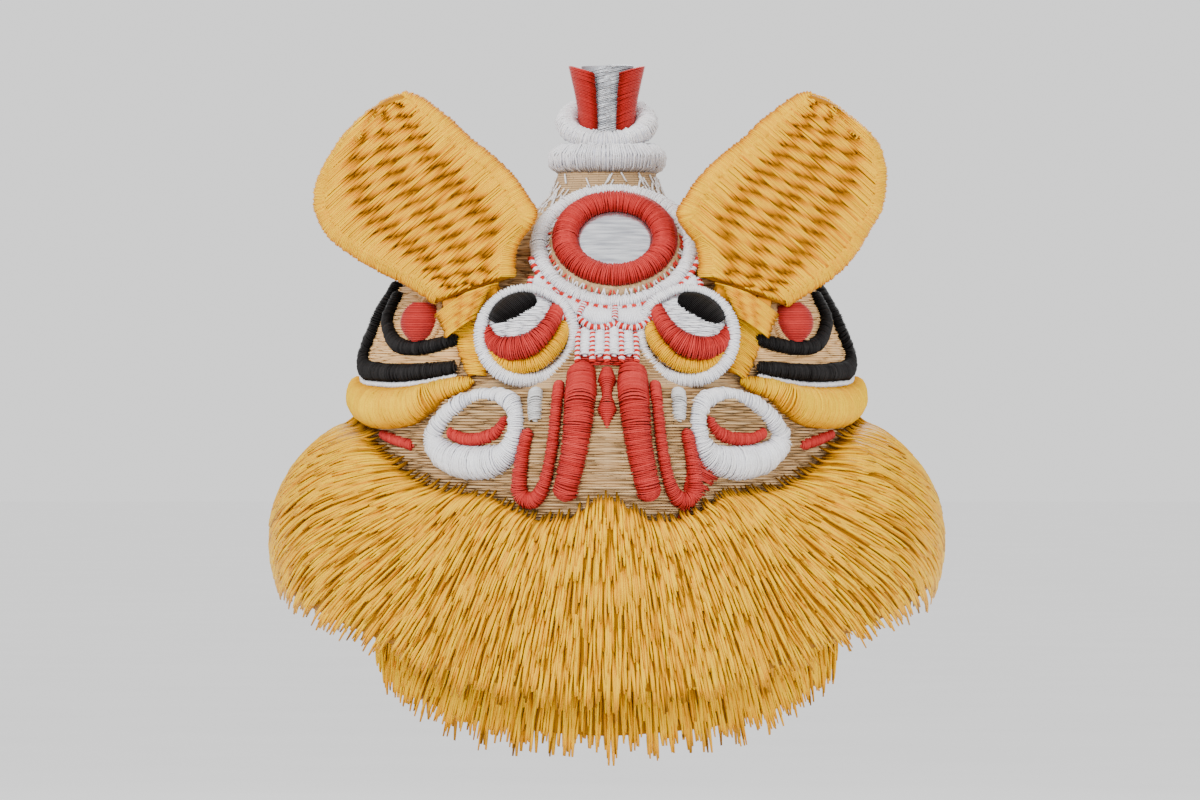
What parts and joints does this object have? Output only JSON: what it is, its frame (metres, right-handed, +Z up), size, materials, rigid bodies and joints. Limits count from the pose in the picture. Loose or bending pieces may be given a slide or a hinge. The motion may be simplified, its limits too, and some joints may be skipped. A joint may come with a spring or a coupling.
{
  "type": "lion dance head",
  "caption": "Lion dance head worn over the wearer's head, with paddle ears that flap, a jaw that opens, a forehead mirror, a horn and a deep yellow fur beard.",
  "frame": {"origin": "centre of the open rim at the bottom of the head, where the wearer's head goes in", "axes": "+Z up out of the top of the head, -Y out of the face, +X on the viewer's right"},
  "size_m": [0.6858, 0.6205, 0.699],
  "materials": {
    "shell": "matte papier-mache over cane",
    "yellow_fur": "long-pile fur",
    "white_fur": "short-pile fur",
    "red_plush": "plush",
    "black_plush": "plush",
    "white_trim": "cord trim",
    "grey_trim": "cord trim",
    "beige_cloth": "woven",
    "peach_cloth": "satin",
    "yellow_lid": "plush",
    "eye_white": "painted papier-mache",
    "pupil_black": "gloss",
    "silver_foil": "silver lame",
    "mirror": "polished",
    "pin_steel": "brushed",
    "jaw_board": "plain plywood"
  },
  "bodies": {
    "head": {"beard_upper": "yellow_fur", "bridge_pad": "red_plush", "bridge_rib_a": "white_trim", "bridge_rib_b": "white_trim", "bridge_rib_c": "white_trim", "bridge_rib_d": "white_trim", "cheek_roll_left": "yellow_fur", "cheek_roll_right": "yellow_fur", "collar_lower": "white_fur", "collar_upper": "white_fur", "ear_pin_left": "pin_steel", "ear_pin_right": "pin_steel", "ear_root_left": "yellow_fur", "ear_root_right": "yellow_fur", "eye_ball_left": "eye_white", "eye_ball_right": "eye_white", "eye_ring_left": "white_trim", "eye_ring_right": "white_trim", "frill_red": "red_plush", "frill_white": "white_fur", "head_shell": "shell", "horn_core": "silver_foil", "horn_neck": "beige_cloth", "horn_strip_left": "red_plush", "horn_strip_right": "red_plush", "lid_red_left": "red_plush", "lid_red_right": "red_plush", "lid_yellow_left": "yellow_lid", "lid_yellow_right": "yellow_lid", "lip_corner_left": "red_plush", "lip_corner_right": "red_plush", "mirror_glass": "mirror", "mirror_plate": "beige_cloth", "mirror_ring_red": "red_plush", "mirror_ring_white": "white_fur", "muzzle_strip_left": "grey_trim", "muzzle_strip_right": "grey_trim", "nose_bar_left": "red_plush", "nose_bar_right": "red_plush", "nose_loop_left": "red_plush", "nose_loop_right": "red_plush", "nose_pendant": "red_plush", "pouch_lip_left": "red_plush", "pouch_lip_right": "red_plush", "pouch_ring_left": "white_fur", "pouch_ring_right": "white_fur", "pupil_left": "pupil_black", "pupil_right": "pupil_black", "temple_ball_left": "red_plush", "temple_ball_right": "red_plush", "temple_inner_left": "black_plush", "temple_inner_right": "black_plush", "temple_outer_left": "black_plush", "temple_outer_right": "black_plush", "temple_pad_left": "peach_cloth", "temple_pad_right": "peach_cloth"},
    "ear_left": {"ear_left": "yellow_fur"},
    "ear_right": {"ear_right": "yellow_fur"},
    "jaw": {"jaw": "jaw_board", "beard_lower": "yellow_fur"}
  },
  "joints": [
    {"name": "ear_left_hinge", "type": "hinge", "parent": "head", "child": "ear_left", "pos_m": [-0.1493, -0.217, 0.23208], "axis": [0.9174, -0.2565, 0.3044], "range_deg": [0, 30]},
    {"name": "ear_right_hinge", "type": "hinge", "parent": "head", "child": "ear_right", "pos_m": [0.1493, -0.217, 0.23208], "axis": [0.9174, 0.2565, -0.3044], "range_deg": [0, 30]},
    {"name": "jaw_hinge", "type": "hinge", "parent": "head", "child": "jaw", "pos_m": [0, -0.05, 0.014], "axis": [1, 0, 0], "range_deg": [0, 25]}
  ]
}
